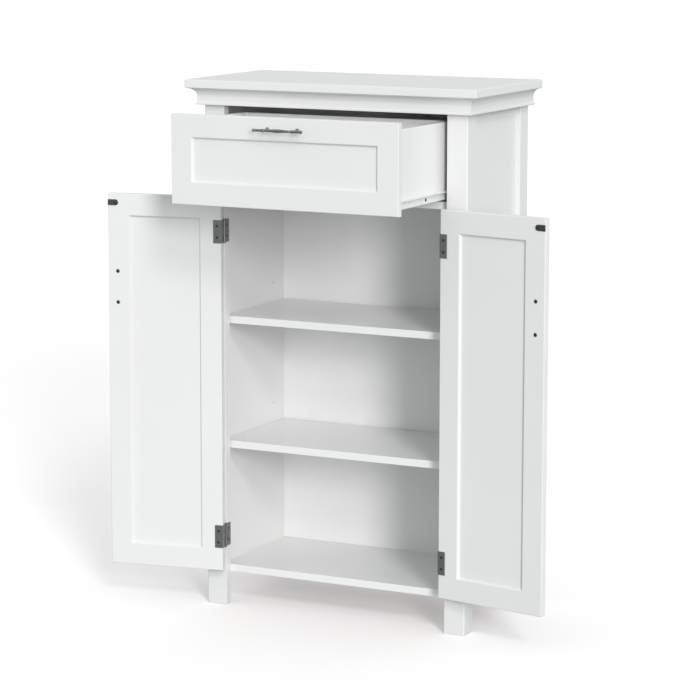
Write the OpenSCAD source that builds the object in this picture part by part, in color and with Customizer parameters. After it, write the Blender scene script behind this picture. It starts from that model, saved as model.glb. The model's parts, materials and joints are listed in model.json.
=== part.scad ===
// Floor-standing storage cabinet: a drawer above a pair of framed doors, a crown moulding under
// an overhanging top, two loose shelves and four legs that are the ends of the corner posts.
//
// Millimetres, +Z up, the front faces -Y. Pieces are drawn with the front stiles' faces at y = 0,
// the cabinet's middle at x = 0 and the floor at z = 0, then in_frame() moves them along Y so that
// the origin is under the middle of the whole object as it rests: drawer out, doors open.

/* [Cabinet] */
// Width across the corner posts
body_w = 580; // [460:5:760]
// Depth from the front stiles' faces to the back edge
body_d = 295; // [240:5:400]
// Height from the floor to the top of the top board
body_h = 1080; // [900:5:1350]
// Height of the bottom board's underside above the floor
leg_h = 67; // [40:1:150]

/* [Case boards] */
// Thickness of the top board
top_t = 17; // [12:0.5:25]
// How far the top board overhangs the front and the sides
top_overhang = 30; // [28:1:45]
// Width of each front stile
stile_w = 44; // [34:1:70]
// Thickness of each front stile
stile_t = 20; // [18:0.5:28]
// Depth of each corner post, front stile included
post_d = 40; // [34:1:60]
// Thickness of the side stiles, outer face to inner face
side_stile_t = 24; // [18:0.5:32]
// Thickness of the side panels, flush with the side stiles inside
side_panel_t = 15; // [12:0.5:18]
// Thickness of the bottom, divider and shelf boards
board_t = 15; // [12:0.5:22]
// Thickness of the back panel
back_t = 3; // [2.5:0.5:9]

/* [Crown moulding] */
// Height of the moulding's bottom bead
lip_h = 5; // [3:0.5:8]
// How far the bottom bead stands out
lip_out = 13.5; // [12.5:0.5:18]
// Height of the flat band above the bead
fascia_h = 12; // [6:0.5:20]
// How far the flat band stands out
fascia_out = 11; // [6:0.5:12]
// Radius of the cove
cove_r = 16; // [10:0.5:16]
// Height of the square edge above the cove
fillet_h = 1; // [0.5:0.5:8]

/* [Shelves] */
// Gap at each end of a shelf
shelf_gap = 1; // [0.5:0.5:3]
// Gap in front of and behind a shelf
shelf_reveal = 4; // [2:0.5:12]
// Radius of a shelf pin
pin_r = 2.5; // [2:0.25:4]
// How far a shelf pin goes into the side panel
pin_depth = 9; // [6:0.5:10]
// How far a shelf pin stands out of the side panel
pin_out = 9; // [6:0.5:14]
// Distance of the pin rows from the cabinet's front and back
pin_row = 50; // [46:1:80]
// Height of the spare pin holes above the ones in use
pin_pitch = 58; // [32:1:90]

/* [Doors and drawer front] */
// Thickness of the door frames and the drawer front
door_t = 15; // [12:0.5:18]
// Flat width of a frame member
flat_w = 44; // [30:1:60]
// Width of the sloped edge inside the flat
slope_w = 3.5; // [3:0.5:12]
// Thickness of the wood where the sloped edge meets the thin panel
edge_t = 0.6; // [0.4:0.1:1.5]
// Thickness of the thin panel that the frame holds
panel_t = 3; // [2.5:0.5:6]
// Depth of the groove that holds the panel
groove_d = 8; // [5:0.5:12]
// Play of the panel in its grooves, each side
panel_play = 1; // [0.5:0.25:2]
// Gap between the two closed doors
centre_gap = 3; // [2:0.5:6]
// How far the closed doors cover the edge of the bottom board
door_cover = 5; // [2:0.5:10]

/* [Drawer] */
// Height of the drawer front
drawer_front_h = 176; // [140:2:220]
// Gap beside and above the drawer front
drawer_gap = 1.5; // [1:0.25:4]
// Gap between the drawer front and the closed doors
mid_gap = 5; // [3:0.5:10]
// Space between the closed drawer and the back panel
drawer_back_gap = 27; // [8:1:60]
// Height of the drawer's sides
drawer_side_h = 150; // [100:2:150]
// Thickness of the drawer's sides and back
drawer_side_t = 12; // [10:0.5:16]
// Thickness of the drawer's base
drawer_base_t = 4; // [3:0.5:6]
// Height of the base above the lower edges of the sides
base_lift = 8; // [5:0.5:15]
// Depth of the grooves that hold the base
base_groove = 5; // [3:0.5:7]
// Space below the drawer's sides
drawer_lift = 6; // [4:0.5:10]

/* [Drawer slides] */
// Space for a slide at each side of the drawer
slide_w = 12; // [11.5:0.25:14]
// Thickness of the slide's sheet steel
slide_t = 1.2; // [1:0.1:1.6]
// Height of the cabinet rail
rail_h = 22; // [21:0.5:26]
// Radius of the rollers
roller_r = 6; // [5:0.25:6.5]
// Width of the rollers
roller_w = 4.6; // [3.5:0.1:5]
// Radius of the roller axles
axle_r = 2; // [1.5:0.1:2.5]
// Distance of each roller from the end of its slide
roller_inset = 8; // [7:0.5:14]
// Gap between the cabinet rail and the back of the closed drawer front
rail_setback = 3; // [2:0.5:6]
// Height of the blocks that carry the cabinet rails
block_h = 34; // [32:1:50]

/* [Hinges] */
// Space between a closed door and its post
hinge_gap = 2.8; // [2.8:0.1:4]
// Height of a hinge
hinge_h = 47; // [36:1:70]
// Distance of a hinge's middle from the door's end
hinge_inset = 71; // [50:1:120]
// Thickness of the hinge leaves
leaf_t = 1.2; // [1:0.1:1.2]
// Depth of the leaf on the post
post_leaf_w = 17; // [14:0.5:17.5]
// Width of the leaf on the door's inner face
door_leaf_w = 16; // [12:0.5:24]
// Radius of the knuckles
knuckle_r = 2.6; // [2.3:0.1:2.6]
// How far the pins' centres stand in front of the posts
pin_front = 3; // [3:0.1:4]
// Radius of the hinge pins
hinge_pin_r = 1.2; // [1:0.1:1.4]

/* [Handles] */
// Distance between a handle's two feet
handle_centres = 64; // [32:1:96]
// Distance from the front to the bar's centre line
handle_stand = 22; // [18:0.5:32]
// How far the bar reaches past each foot
handle_reach = 22; // [12:1:30]
// Radius of the bar at its middle and its end knobs
handle_bulge_r = 3.5; // [2.8:0.1:5]
// Radius of the plain bar
handle_bar_r = 2.5; // [2.2:0.1:3]
// Radius of the feet
handle_foot_r = 3; // [2.8:0.1:4]
// Distance from the drawer front's top edge to its handle
drawer_handle_drop = 23; // [16:0.5:40]
// Distance from a door's top edge to its upper handle foot
door_handle_drop = 159; // [90:1:400]
// Distance of the door handle from the free edge
door_handle_in = 20; // [16:0.5:24]

/* [Catches] */
// Length of a strike plate
strike_l = 22; // [16:0.5:30]
// Height of a strike plate
strike_h = 12; // [9:0.5:16]
// Thickness of a strike plate
strike_t = 1.6; // [1:0.1:2]
// Distance from a door's top edge to the strike plate's middle
strike_drop = 18.5; // [12:0.5:30]
// Depth of a magnetic catch, front to back
catch_d = 24; // [16:0.5:40]

/* [Resting pose] */
// How far the resting drawer is from fully open
drawer_left = 5; // [0:1:150]
// Angle of the open doors in degrees
door_open = 169.5; // [0:0.5:178]

/* [Hidden] */
$fn = 48;
sides = [-1, 1];              // left, right

// Clearances
running = 0.06;               // radial play of a turning pin or roller
seated = 0.02;                // radial play of a pin that is held
screw_play = 0.1;             // radial play round a screw
touch = 0.1;                  // gap between a loose round part and what it rests on
slide_play = 0.3;             // gap between sliding and rolling parts
magnet_gap = 1.2;             // least gap between a catch and the closed strike plate
roller_stop = 2;              // gap left between the rollers when the drawer is fully open

// Case
crown_h = lip_h + fascia_h + cove_r + fillet_h;
crown_out = fascia_out + cove_r;
crown_z = body_h - top_t - crown_h;
case_top = body_h - top_t;
outer_x = body_w / 2;
open_x = outer_x - stile_w;              // inner faces of the front stiles
inner_x = outer_x - side_stile_t;        // inner faces of the sides
open_w = 2 * open_x;
back_y = body_d - back_t;                // front face of the back panel
top_w = body_w + 2 * top_overhang;

// Drawer front, divider and doors, from the top down
front_top = crown_z - drawer_gap;
front_bottom = front_top - drawer_front_h;
front_w = open_w - 2 * drawer_gap;
door_top = front_bottom - mid_gap;
divider_z = front_bottom - mid_gap / 2 - board_t / 2;
divider_top = divider_z + board_t;
bottom_top = leg_h + board_t;
door_bottom = bottom_top - door_cover;
door_h = door_top - door_bottom;
door_w = (open_w - 2 * hinge_gap - centre_gap) / 2;
door_hinge_x = open_x - hinge_gap;       // a closed door's hinge edge
door_free_x = door_hinge_x - door_w;     // a closed door's free edge

// Framed fronts
member_w = flat_w + slope_w;
groove_y = (door_t - panel_t) / 2;
slope_d = groove_y - edge_t;
panel_inset = member_w - groove_d + panel_play;

// Shelves, evenly spaced between the bottom board and the divider
shelf_count = 2;
shelf_space = (divider_z - bottom_top - shelf_count * board_t) / (shelf_count + 1);
function shelf_z(i) = bottom_top + (i + 1) * shelf_space + i * board_t;
shelf_front = stile_t + shelf_reveal;
shelf_back = back_y - shelf_reveal;
pin_rows = [pin_row, body_d - pin_row];

// Drawer box and slides
box_x = open_x - slide_w;                // outer faces of the drawer's sides
box_z = divider_top + drawer_lift;
box_back = back_y - drawer_back_gap;
drawer_side_l = box_back - door_t;
base_z = box_z + base_lift;
rail_y = door_t + rail_setback;
rail_l = drawer_side_l;
rail_z = box_z;
web_x = open_x - slide_t;                // inner face of the cabinet rail's web
runner_x = box_x + slide_t;              // outer face of the drawer runner's web
rail_reach = runner_x + 0.8;             // how far the rail's flanges come towards the drawer
runner_reach = web_x - 1.8;              // how far the runner's flange comes towards the rail
roller_x = (web_x + runner_x) / 2;
rear_roller_z = rail_z + slide_t + slide_play + roller_r;
front_roller_z = rear_roller_z + 0.8;
front_roller_y = rail_y + roller_inset;
rear_roller_y = box_back - roller_inset;
drawer_travel = rear_roller_y - front_roller_y - 2 * roller_r - roller_stop;
drawer_out = drawer_travel - drawer_left;
flange_z = front_roller_z + roller_r + slide_play;
axle_head_t = 0.8;
axle_head_r = 3.2;

// Hinges
hinge_x = open_x - hinge_gap / 2;
post_leaf_x = open_x - leaf_t;           // inner face of the leaf on the post
hinge_y = -pin_front;
knuckle_gap = 0.4;
knuckle_h = (hinge_h - 2 * knuckle_gap) / 3;
pin_head_r = 2.2;
pin_head_t = 1.5;
hinge_zs = [door_bottom + hinge_inset, door_top - hinge_inset];
hinge_screw_z = hinge_h / 4;             // screws above and below a hinge's middle

// Screws: head radius, head height and shank radius
wood_screw = [2.9, 1.9, 1.5];
handle_screw = [3.9, 1.8, 2];
slide_screw = [3.4, 0.9, 1.7];
wood_screw_l = 12;
thread_depth = 6;
runner_screw_l = slide_t + 6;
catch_flange_t = 3;
catch_screw_l = catch_flange_t + 9;

// Handles
handle_out = handle_stand + handle_bulge_r;
handle_screw_l = door_t + thread_depth;
door_handle_x = door_free_x + door_handle_in;
door_handle_z = door_top - door_handle_drop - handle_centres / 2;
drawer_handle_z = front_top - drawer_handle_drop;
inner_face = door_t;

// Catches
strike_z = door_top - strike_drop;
strike_screw_x = door_free_x + strike_l - strike_h / 2;
catch_front = door_t + strike_t + magnet_gap;
catch_y = max(catch_front, stile_t);

// The whole object's middle, front to back, as it rests
front_reach = max(drawer_out + handle_out, top_overhang, pin_front + door_w * sin(door_open));
frame_y = (front_reach - body_d) / 2;

// Colours
paint = "white";
coated = "whitesmoke";
steel = "dimgray";
polished = "silver";
nylon = "black";

// ---------------------------------------------------------------- places

// Moves pieces from the front stiles' plane to the object's own origin
module in_frame() {
    translate([0, frame_y, 0]) children();
}

// Pieces are drawn for the right side; side -1 mirrors them to the left
module on_side(side) {
    if (side < 0) mirror([1, 0, 0]) children();
    else children();
}

// A piece of the case on one side
module on_case(side) {
    in_frame() on_side(side) children();
}

// A piece of the drawer, drawn with the drawer shut
module on_drawer(side = 1) {
    in_frame() translate([0, -drawer_out, 0]) on_side(side) children();
}

// A piece of a door, drawn with the door shut, then swung about its hinge pins
module on_door(side) {
    in_frame() on_side(side)
        translate([hinge_x, hinge_y, 0]) rotate([0, 0, door_open])
            translate([-hinge_x, -hinge_y, 0]) children();
}

// ---------------------------------------------------------------- shared shapes

// Box between two corners
module block(low, high) {
    translate(low) cube(high - low);
}

// Outline in X and Z, carried along Y from y0 to y1
module across_y(y0, y1) {
    translate([0, y1, 0]) rotate([90, 0, 0]) linear_extrude(height = y1 - y0) children();
}

// Round bar along X from x0 to x1
module rod_x(x0, x1, r) {
    translate([x0, 0, 0]) rotate([0, 90, 0]) cylinder(h = x1 - x0, r = r);
}

// Section of a frame member: X runs in from the outer edge, Y through the thickness
module member_section() {
    polygon([
        [0, 0], [flat_w, 0], [member_w, slope_d], [member_w, groove_y],
        [member_w - groove_d, groove_y], [member_w - groove_d, groove_y + panel_t],
        [member_w, groove_y + panel_t], [member_w, door_t - slope_d], [flat_w, door_t],
        [0, door_t]
    ]);
}

// Frame member along Z with mitred ends, its outer edge at x = 0
module frame_member(length) {
    intersection() {
        linear_extrude(height = length) member_section();
        across_y(0, door_t)
            polygon([[0, 0], [member_w, member_w], [member_w, length - member_w], [0, length]]);
    }
}

// The four members of a w by h frame, from its lower left corner
module frame_left(h) {
    frame_member(h);
}

module frame_right(w, h) {
    translate([w, 0, 0]) mirror([1, 0, 0]) frame_member(h);
}

module frame_bottom(w) {
    mirror([1, 0, -1]) frame_member(w);
}

module frame_top(w, h) {
    translate([0, 0, h]) mirror([0, 0, 1]) frame_bottom(w);
}

// Thin panel held in the frame's grooves
module frame_panel(w, h) {
    block([panel_inset, groove_y, panel_inset],
          [w - panel_inset, groove_y + panel_t, h - panel_inset]);
}

// Countersunk screw: its head's face at z = 0, its point down
module sunk_screw(play = 0) {
    head_r = wood_screw[0] + play;
    head_h = wood_screw[1] + play;
    shank_r = wood_screw[2] + play;
    translate([0, 0, -head_h]) cylinder(h = head_h, r1 = shank_r, r2 = head_r);
    translate([0, 0, -wood_screw_l - play]) cylinder(h = wood_screw_l + play, r = shank_r);
}

// Hole for a countersunk screw, open at z = 0
module sunk_screw_hole() {
    sunk_screw(screw_play);
    cylinder(h = 1, r = wood_screw[0] + screw_play);
}

// Screw with a raised head: its head stands on z = 0, its point down
module raised_screw(kind, length) {
    cylinder(h = kind[1], r = kind[0]);
    translate([0, 0, -length]) cylinder(h = length + kind[1] / 2, r = kind[2]);
}

// Hole for a raised screw, open at z = 0
module raised_screw_hole(kind, length) {
    translate([0, 0, -length - screw_play])
        cylinder(h = length + screw_play + 1, r = kind[2] + screw_play);
}

// ---------------------------------------------------------------- case

module top_board() {
    color(paint) in_frame()
        block([-top_w / 2, -top_overhang, case_top], [top_w / 2, body_d, body_h]);
}

// Section of the crown: X runs out from the case, Y runs up from the moulding's lower edge
module crown_section() {
    cove_z = lip_h + fascia_h;
    square([lip_out, lip_h]);
    square([fascia_out, cove_z]);
    difference() {
        translate([0, cove_z]) square([crown_out, cove_r]);
        translate([crown_out, cove_z]) circle(r = cove_r);
    }
    translate([0, cove_z + cove_r]) square([crown_out, fillet_h]);
}

// Front moulding, mitred at both corners
module crown_front() {
    half = outer_x + crown_out;
    color(paint) in_frame() translate([0, 0, crown_z]) intersection() {
        translate([-half, 0, 0]) mirror([1, 1, 0]) rotate([90, 0, 0])
            linear_extrude(height = 2 * half) crown_section();
        linear_extrude(height = crown_h)
            polygon([[-outer_x, 0], [outer_x, 0], [half, -crown_out], [-half, -crown_out]]);
    }
}

// Side moulding, mitred at the front and square at the back
module crown_side(side) {
    half = outer_x + crown_out;
    color(paint) on_case(side) translate([0, 0, crown_z]) intersection() {
        translate([outer_x, body_d, 0]) rotate([90, 0, 0])
            linear_extrude(height = body_d + crown_out) crown_section();
        linear_extrude(height = crown_h)
            polygon([[outer_x, 0], [half, -crown_out], [half, body_d], [outer_x, body_d]]);
    }
}

module top_rail() {
    color(paint) in_frame() block([-open_x, 0, crown_z], [open_x, stile_t, case_top]);
}

// Places of the screws that hold one post's hinge leaves, as drawn on the inner face
module at_post_screws() {
    for (z = hinge_zs, dz = [-hinge_screw_z, hinge_screw_z])
        translate([post_leaf_x, post_leaf_w / 2, z + dz]) rotate([0, -90, 0]) children();
}

// Front stile, whose lower end is a leg, bored for the hinge screws
module front_stile(side) {
    color(paint) on_case(side) difference() {
        block([open_x, 0, 0], [outer_x, stile_t, case_top]);
        at_post_screws() sunk_screw_hole();
    }
}

module side_stile_front(side) {
    color(paint) on_case(side) block([inner_x, stile_t, 0], [outer_x, post_d, case_top]);
}

module side_stile_back(side) {
    color(paint) on_case(side)
        block([inner_x, body_d - post_d, 0], [outer_x, body_d, case_top]);
}

// Places of the pins that hold the shelves, on the inner face of the side panel
module at_shelf_pins() {
    for (i = [0 : shelf_count - 1], y = pin_rows)
        translate([inner_x, y, shelf_z(i) - pin_r - touch]) children();
}

// Side panel, bored for the shelf pins and for the spare places above them
module side_panel(side) {
    color(paint) on_case(side) difference() {
        block([inner_x, post_d, leg_h], [inner_x + side_panel_t, body_d - post_d, case_top]);
        at_shelf_pins() for (dz = [0, pin_pitch])
            translate([0, 0, dz]) rod_x(-1, pin_depth + touch, pin_r + seated);
    }
}

module back_panel() {
    color(paint) in_frame() block([-inner_x, back_y, leg_h], [inner_x, body_d, case_top]);
}

// Board across the case between its sides, with its underside at height z
module case_board(z) {
    in_frame() block([-inner_x, stile_t, z], [inner_x, back_y, z + board_t]);
}

module bottom_board() {
    color(paint) case_board(leg_h);
}

// Board between the doors and the drawer, bored for the catches' screws
module divider_board() {
    color(paint) difference() {
        case_board(divider_z);
        for (side = sides) on_case(side) at_catch_screw()
            raised_screw_hole(slide_screw, catch_screw_l);
    }
}

module shelf(i) {
    half = inner_x - shelf_gap;
    color(paint) in_frame()
        block([-half, shelf_front, shelf_z(i)], [half, shelf_back, shelf_z(i) + board_t]);
}

module shelf_pins() {
    color(polished) for (side = sides)
        on_case(side) at_shelf_pins() rod_x(-pin_out, pin_depth, pin_r);
}

// ---------------------------------------------------------------- catches

// Place of a catch's screw, which goes up through its flange into the divider
module at_catch_screw() {
    translate([door_free_x + strike_l / 2, catch_y + catch_d * 0.6, divider_z - catch_flange_t])
        mirror([0, 0, 1]) children();
}

// Magnetic catches hung under the divider behind the closed strike plates: each is solid in
// front, where its magnet is, and has two cheeks and a flange behind
module door_catches() {
    x1 = door_free_x + strike_l;
    low = strike_z - strike_h / 2;
    cheek_t = 3;
    magnet_d = catch_d / 3;
    color(coated) for (side = sides) on_case(side) difference() {
        block([door_free_x, catch_y, low], [x1, catch_y + catch_d, divider_z]);
        block([door_free_x + cheek_t, catch_y + magnet_d, low - 1],
              [x1 - cheek_t, catch_y + catch_d + 1, divider_z - catch_flange_t]);
        at_catch_screw() raised_screw_hole(slide_screw, catch_flange_t);
    }
}

// ---------------------------------------------------------------- slides

// Blocks that bring the rails out to the line of the front stiles
module rail_blocks() {
    color(paint) for (side = sides) on_case(side) difference() {
        block([open_x, stile_t, divider_top],
              [inner_x, rail_y + rail_l, divider_top + block_h]);
        at_rail_screws() raised_screw_hole(slide_screw, wood_screw_l);
    }
}

// Places of the screws in a cabinet rail, on the inner face of its web
module at_rail_screws() {
    for (y = [rail_y + rail_l * 0.3, rail_y + rail_l * 0.8])
        translate([web_x, y, rail_z + rail_h / 2]) rotate([0, -90, 0]) children();
}

// Cabinet rail: a channel open towards the drawer, with the axle of the front roller
module slide_rail(side) {
    rail_end = rail_y + rail_l;
    rail_top = rail_z + rail_h;
    roller_half = roller_w / 2;
    color(coated) on_case(side) difference() {
        union() {
            block([web_x, rail_y, rail_z], [open_x, rail_end, rail_top]);
            block([rail_reach, rail_y, rail_z], [open_x, rail_end, rail_z + slide_t]);
            block([rail_reach, rail_y + 2 * roller_inset, rail_top - slide_t],
                  [open_x, rail_end, rail_top]);
            translate([0, front_roller_y, front_roller_z]) {
                rod_x(roller_x - roller_half - slide_play, web_x + slide_t / 2, axle_r);
                rod_x(roller_x - roller_half - slide_play - axle_head_t,
                      roller_x - roller_half - slide_play, axle_head_r);
            }
        }
        at_rail_screws() raised_screw_hole(slide_screw, slide_t);
    }
}

// Ring that turns on an axle
module roller() {
    half = roller_w / 2;
    difference() {
        rod_x(roller_x - half, roller_x + half, roller_r);
        rod_x(roller_x - half - 1, roller_x + half + 1, axle_r + running);
    }
}

module front_roller(side) {
    color(nylon) on_case(side) translate([0, front_roller_y, front_roller_z]) roller();
}

module rear_roller(side) {
    color(nylon) on_drawer(side) translate([0, rear_roller_y, rear_roller_z]) roller();
}

// Places of the screws in a drawer runner, on the outer face of its web
module at_runner_screws() {
    for (y = [door_t + drawer_side_l * 0.5, door_t + drawer_side_l * 0.9])
        translate([runner_x, y, (box_z + flange_z) / 2]) rotate([0, 90, 0]) children();
}

// Drawer runners: an angle under each side of the box, a flange that rolls on the front
// roller, and the axle of the rear roller
module drawer_runners() {
    roller_half = roller_w / 2;
    under_w = 8;
    color(coated) for (side = sides) on_drawer(side) difference() {
        union() {
            block([box_x, door_t, box_z - slide_t], [runner_x, box_back, flange_z + slide_t]);
            block([box_x - under_w, door_t, box_z - slide_t], [runner_x, box_back, box_z]);
            block([box_x, door_t, flange_z], [runner_reach, box_back, flange_z + slide_t]);
            translate([0, rear_roller_y, rear_roller_z]) {
                rod_x(box_x + slide_t / 2, roller_x + roller_half + slide_play, axle_r);
                rod_x(roller_x + roller_half + slide_play,
                      roller_x + roller_half + slide_play + axle_head_t, axle_head_r);
            }
        }
        at_runner_screws() raised_screw_hole(slide_screw, slide_t);
    }
}

// ---------------------------------------------------------------- drawer

// Moves a framed front to the drawer's place
module at_drawer_front() {
    translate([-front_w / 2, 0, front_bottom]) children();
}

module at_drawer_handle() {
    translate([0, 0, drawer_handle_z]) children();
}

// Places of the two feet of a handle that lies along X
module at_handle_feet() {
    for (x = [-handle_centres / 2, handle_centres / 2])
        translate([x, 0, 0]) children();
}

// Places of a handle's screws, with the heads' seats on the inner face of the front
module at_handle_screws() {
    at_handle_feet() translate([0, inner_face, 0]) rotate([-90, 0, 0]) children();
}

module drawer_stile(side) {
    color(paint) on_drawer() at_drawer_front() {
        if (side < 0) frame_left(drawer_front_h);
        else frame_right(front_w, drawer_front_h);
    }
}

module drawer_rail_top() {
    color(paint) on_drawer() difference() {
        at_drawer_front() frame_top(front_w, drawer_front_h);
        at_drawer_handle() at_handle_screws() raised_screw_hole(handle_screw, door_t + 1);
    }
}

module drawer_rail_bottom() {
    color(paint) on_drawer() at_drawer_front() frame_bottom(front_w);
}

module drawer_panel() {
    color(paint) on_drawer() at_drawer_front() frame_panel(front_w, drawer_front_h);
}

// Drawer side, grooved for the base and bored for the runner's screws
module drawer_side(side) {
    inner = box_x - drawer_side_t;
    color(paint) on_drawer(side) difference() {
        block([inner, door_t, box_z], [box_x, box_back, box_z + drawer_side_h]);
        block([inner - 1, door_t - 1, base_z],
              [inner + base_groove, box_back + 1, base_z + drawer_base_t]);
        at_runner_screws() raised_screw_hole(slide_screw, runner_screw_l);
    }
}

module drawer_back() {
    half = box_x - drawer_side_t;
    color(paint) on_drawer()
        block([-half, box_back - drawer_side_t, base_z + drawer_base_t],
              [half, box_back, box_z + drawer_side_h]);
}

module drawer_base() {
    half = box_x - drawer_side_t + base_groove - panel_play / 2;
    color(paint) on_drawer()
        block([-half, door_t, base_z], [half, box_back, base_z + drawer_base_t]);
}

// ---------------------------------------------------------------- handles

// Half of the bar's outline, along X from the middle: a tapering middle, a neck at each
// foot's inner side, the plain bar and a knob at the end
module handle_bar_half() {
    foot_x = handle_centres / 2;
    waist_x = foot_x - 2 * handle_bar_r;
    knob_x = foot_x + handle_reach - handle_bulge_r;
    rotate([0, 90, 0]) {
        cylinder(h = waist_x, r1 = handle_bulge_r, r2 = handle_bar_r - 0.4);
        cylinder(h = knob_x, r = handle_bar_r - 0.5);
        translate([0, 0, waist_x + handle_bar_r / 2])
            cylinder(h = knob_x - waist_x - handle_bar_r, r = handle_bar_r);
        translate([0, 0, knob_x]) sphere(r = handle_bulge_r);
    }
}

// Handle along X on a front whose face is y = 0, its feet tapped for the screws from behind
module handle() {
    tap_r = handle_screw[2] + seated;
    difference() {
        union() {
            translate([0, -handle_stand, 0]) for (side = sides) on_side(side) handle_bar_half();
            at_handle_feet() rotate([90, 0, 0]) {
                cylinder(h = handle_stand, r = handle_foot_r);
                cylinder(h = 1.5, r = handle_foot_r + 1.5);
            }
        }
        at_handle_feet() rotate([90, 0, 0])
            translate([0, 0, -1]) cylinder(h = thread_depth + 1 + touch, r = tap_r);
    }
}

module drawer_handle() {
    color(polished) on_drawer() at_drawer_handle() handle();
}

module drawer_screws() {
    color(steel) on_drawer() at_drawer_handle() at_handle_screws()
        raised_screw(handle_screw, handle_screw_l);
    color(steel) for (side = sides) on_drawer(side) at_runner_screws()
        raised_screw(slide_screw, runner_screw_l);
}

// ---------------------------------------------------------------- doors

// Moves a framed front to the closed right door's place
module at_door() {
    translate([door_free_x, 0, door_bottom]) children();
}

// Moves a handle to the closed right door's free stile, standing upright
module at_door_handle() {
    translate([door_handle_x, 0, door_handle_z]) rotate([0, 90, 0]) children();
}

// Places of the screws that hold the door's hinge leaves, on the leaf's inner face
module at_door_hinge_screws() {
    for (z = hinge_zs, dz = [-hinge_screw_z, hinge_screw_z])
        translate([door_hinge_x - door_leaf_w / 2, inner_face + leaf_t, z + dz])
            rotate([-90, 0, 0]) children();
}

module at_strike_screw() {
    translate([strike_screw_x, inner_face + strike_t, strike_z]) rotate([-90, 0, 0]) children();
}

module door_stile_hinge(side) {
    color(paint) on_door(side) difference() {
        at_door() frame_right(door_w, door_h);
        at_door_hinge_screws() sunk_screw_hole();
    }
}

module door_stile_free(side) {
    color(paint) on_door(side) difference() {
        at_door() frame_left(door_h);
        at_door_handle() at_handle_screws() raised_screw_hole(handle_screw, door_t + 1);
        at_strike_screw() sunk_screw_hole();
    }
}

module door_rail_top(side) {
    color(paint) on_door(side) at_door() frame_top(door_w, door_h);
}

module door_rail_bottom(side) {
    color(paint) on_door(side) at_door() frame_bottom(door_w);
}

module door_panel(side) {
    color(paint) on_door(side) at_door() frame_panel(door_w, door_h);
}

module door_handle(side) {
    color(polished) on_door(side) at_door_handle() handle();
}

// Strike plate on the inner face, square at the free edge and rounded at its other end
module door_strike_plate(side) {
    r = strike_h / 2;
    color(steel) on_door(side) difference() {
        translate([0, inner_face, strike_z]) {
            block([door_free_x, 0, -r], [strike_screw_x, strike_t, r]);
            translate([strike_screw_x, strike_t, 0]) rotate([90, 0, 0])
                cylinder(h = strike_t, r = r);
        }
        at_strike_screw() sunk_screw_hole();
    }
}

module door_screws(side) {
    color(steel) on_door(side) {
        at_door_hinge_screws() sunk_screw();
        at_door_handle() at_handle_screws() raised_screw(handle_screw, handle_screw_l);
        at_strike_screw() sunk_screw();
    }
}

// ---------------------------------------------------------------- hinges

// One knuckle: the i-th of three, counted from below, about z = 0
module knuckle(i) {
    z = -hinge_h / 2 + i * (knuckle_h + knuckle_gap);
    translate([hinge_x, hinge_y, z]) cylinder(h = knuckle_h, r = knuckle_r);
}

// Strip that joins a leaf at x0 to its i-th knuckle
module knuckle_strip(i, x0) {
    z = -hinge_h / 2 + i * (knuckle_h + knuckle_gap);
    block([x0, hinge_y, z], [x0 + leaf_t, 0, z + knuckle_h]);
}

module pin_bore(r) {
    translate([hinge_x, hinge_y, -hinge_h]) cylinder(h = 2 * hinge_h, r = r);
}

// Leaf on the post's inner face, with the outer two knuckles
module post_leaf() {
    difference() {
        union() {
            block([post_leaf_x, 0, -hinge_h / 2], [open_x, post_leaf_w, hinge_h / 2]);
            for (i = [0, 2]) {
                knuckle(i);
                knuckle_strip(i, post_leaf_x);
            }
        }
        pin_bore(hinge_pin_r + seated);
    }
}

// Leaf wrapped round the door's edge onto its inner face, with the middle knuckle
module door_leaf() {
    x1 = door_hinge_x + leaf_t;
    difference() {
        union() {
            block([door_hinge_x, 0, -hinge_h / 2], [x1, door_t + leaf_t, hinge_h / 2]);
            block([door_hinge_x - door_leaf_w, door_t, -hinge_h / 2],
                  [x1, door_t + leaf_t, hinge_h / 2]);
            knuckle(1);
            knuckle_strip(1, door_hinge_x);
        }
        pin_bore(hinge_pin_r + running);
    }
}

// Headed pin through the three knuckles
module hinge_pin() {
    head_z = hinge_h / 2 + touch;
    translate([hinge_x, hinge_y, 0]) {
        translate([0, 0, -head_z]) cylinder(h = 2 * head_z, r = hinge_pin_r);
        for (z = [-head_z - pin_head_t, head_z])
            translate([0, 0, z]) cylinder(h = pin_head_t, r = pin_head_r);
    }
}

module hinge_post_leaves(side) {
    color(steel) on_case(side) {
        difference() {
            for (z = hinge_zs) translate([0, 0, z]) post_leaf();
            at_post_screws() sunk_screw_hole();
        }
        for (z = hinge_zs) translate([0, 0, z]) hinge_pin();
    }
}

module door_hinge_leaves(side) {
    color(steel) on_door(side) difference() {
        for (z = hinge_zs) translate([0, 0, z]) door_leaf();
        at_door_hinge_screws() sunk_screw_hole();
    }
}

// Screws of the hinges and rails in the case, and of the catches in the divider
module cabinet_screws() {
    color(steel) for (side = sides) on_case(side) {
        at_post_screws() sunk_screw();
        at_rail_screws() raised_screw(slide_screw, wood_screw_l);
        at_catch_screw() raised_screw(slide_screw, catch_screw_l);
    }
}

// ---------------------------------------------------------------- nodes

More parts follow.
